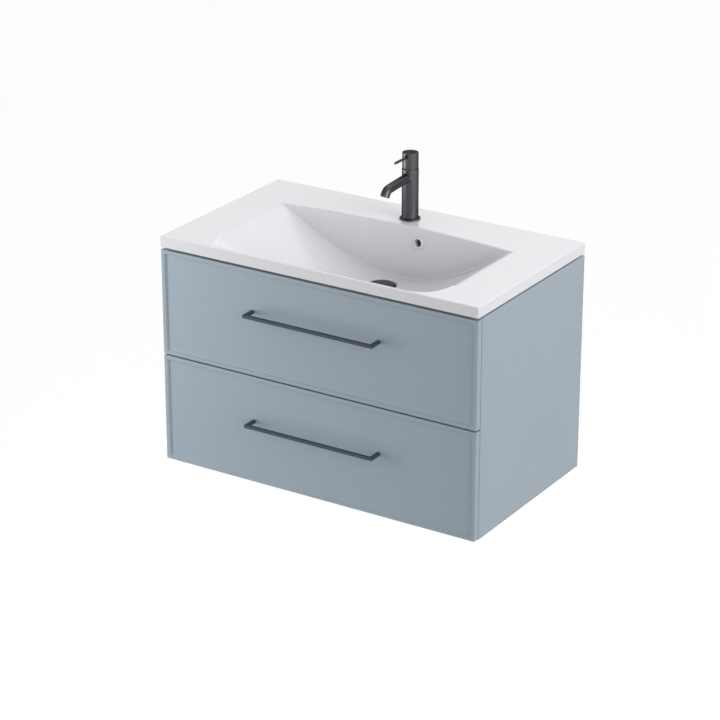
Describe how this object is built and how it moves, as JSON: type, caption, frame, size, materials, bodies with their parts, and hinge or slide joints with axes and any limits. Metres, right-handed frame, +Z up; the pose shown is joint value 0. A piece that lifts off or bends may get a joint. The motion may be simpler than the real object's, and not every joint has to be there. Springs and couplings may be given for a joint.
{
  "type": "wall-hung bathroom vanity cabinet",
  "caption": "Wall-hung vanity with a ramped rectangular ceramic basin, mixer tap, bottle trap and two handled drawers on full-extension runners.",
  "frame": {"origin": "middle of the wall rail's back face, on the wall", "axes": "+X to the cabinet's right-hand side seen from the front, +Y into the wall, +Z up"},
  "size_m": [0.802, 0.4925, 0.6868],
  "materials": {
    "lacquer": "satin grey-blue lacquer",
    "ceramic": "gloss white glaze",
    "gunmetal": "brushed gunmetal plating on brass",
    "handle_metal": "satin slate coating",
    "drawer_board": "matt light grey board",
    "zinc_steel": "bright zinc",
    "trap_plastic": "white moulded plastic",
    "rubber": "matt",
    "waste_metal": "dark satin plating on brass",
    "brass": "machined",
    "cartridge_plastic": "moulded"
  },
  "bodies": {
    "cabinet": {"side_panel_left": "lacquer", "side_panel_right": "lacquer", "bottom_panel": "lacquer", "hanging_board": "drawer_board", "lower_board": "drawer_board", "wall_rail": "zinc_steel", "hanger_left": "zinc_steel", "hanger_right": "zinc_steel", "basin": "ceramic", "overflow_ring": "ceramic", "tap_body": "gunmetal", "tap_base_ring": "gunmetal", "tap_gasket": "rubber", "tap_cartridge": "cartridge_plastic", "aerator": "zinc_steel", "tap_stud": "zinc_steel", "tap_clamp_plate": "zinc_steel", "tap_nut": "brass", "waste_body": "waste_metal", "waste_washer": "rubber", "waste_nut": "trap_plastic", "trap_coupling_nut": "trap_plastic", "trap_dip_tube": "trap_plastic", "trap_body": "trap_plastic", "trap_cup": "trap_plastic", "trap_outlet_nut": "trap_plastic", "trap_outlet_pipe": "trap_plastic", "wall_escutcheon": "trap_plastic", "upper_runner_left_outer": "zinc_steel", "upper_runner_right_outer": "zinc_steel", "lower_runner_left_outer": "zinc_steel", "lower_runner_right_outer": "zinc_steel"},
    "upper_drawer": {"upper_front": "lacquer", "upper_handle": "handle_metal", "upper_side_left": "drawer_board", "upper_side_right": "drawer_board", "upper_bottom": "drawer_board", "upper_back_left": "drawer_board", "upper_back_right": "drawer_board", "upper_trap_guard": "drawer_board", "upper_runner_left_inner": "zinc_steel", "upper_runner_right_inner": "zinc_steel"},
    "lower_drawer": {"lower_front": "lacquer", "lower_handle": "handle_metal", "lower_side_left": "drawer_board", "lower_side_right": "drawer_board", "lower_bottom": "drawer_board", "lower_back": "drawer_board", "lower_runner_left_inner": "zinc_steel", "lower_runner_right_inner": "zinc_steel"},
    "upper_runner_left": {"upper_runner_left_middle": "zinc_steel"},
    "upper_runner_right": {"upper_runner_right_middle": "zinc_steel"},
    "lower_runner_left": {"lower_runner_left_middle": "zinc_steel"},
    "lower_runner_right": {"lower_runner_right_middle": "zinc_steel"},
    "tap_turning_head": {"tap_head": "gunmetal"},
    "tap_lever_arm": {"tap_lever": "gunmetal"},
    "push_plug": {"waste_plug": "waste_metal"}
  },
  "joints": [
    {"name": "upper_drawer_slide", "type": "slide", "parent": "cabinet", "child": "upper_drawer", "axis": [0, -1, 0], "range_m": [0, 0.37]},
    {"name": "lower_drawer_slide", "type": "slide", "parent": "cabinet", "child": "lower_drawer", "axis": [0, -1, 0], "range_m": [0, 0.37]},
    {"name": "upper_runner_left_slide", "type": "slide", "parent": "cabinet", "child": "upper_runner_left", "axis": [0, -1, 0], "range_m": [0, 0.185]},
    {"name": "upper_runner_right_slide", "type": "slide", "parent": "cabinet", "child": "upper_runner_right", "axis": [0, -1, 0], "range_m": [0, 0.185]},
    {"name": "lower_runner_left_slide", "type": "slide", "parent": "cabinet", "child": "lower_runner_left", "axis": [0, -1, 0], "range_m": [0, 0.185]},
    {"name": "lower_runner_right_slide", "type": "slide", "parent": "cabinet", "child": "lower_runner_right", "axis": [0, -1, 0], "range_m": [0, 0.185]},
    {"name": "tap_turn", "type": "hinge", "parent": "cabinet", "child": "tap_turning_head", "pos_m": [0, -0.072, 0.2138], "axis": [0, 0, 1], "range_deg": [-45, 45]},
    {"name": "lever_lift", "type": "hinge", "parent": "tap_turning_head", "child": "tap_lever_arm", "pos_m": [0, -0.072, 0.2407], "axis": [-1, 0, 0], "range_deg": [0, 8]},
    {"name": "plug_lift", "type": "slide", "parent": "cabinet", "child": "push_plug", "axis": [0, 0, 1], "range_m": [0, 0.007]}
  ],
  "couplings": [
    {"joint": "upper_runner_left_slide", "follows": "upper_drawer_slide", "ratio": 0.5},
    {"joint": "upper_runner_right_slide", "follows": "upper_drawer_slide", "ratio": 0.5},
    {"joint": "lower_runner_left_slide", "follows": "lower_drawer_slide", "ratio": 0.5},
    {"joint": "lower_runner_right_slide", "follows": "lower_drawer_slide", "ratio": 0.5}
  ]
}
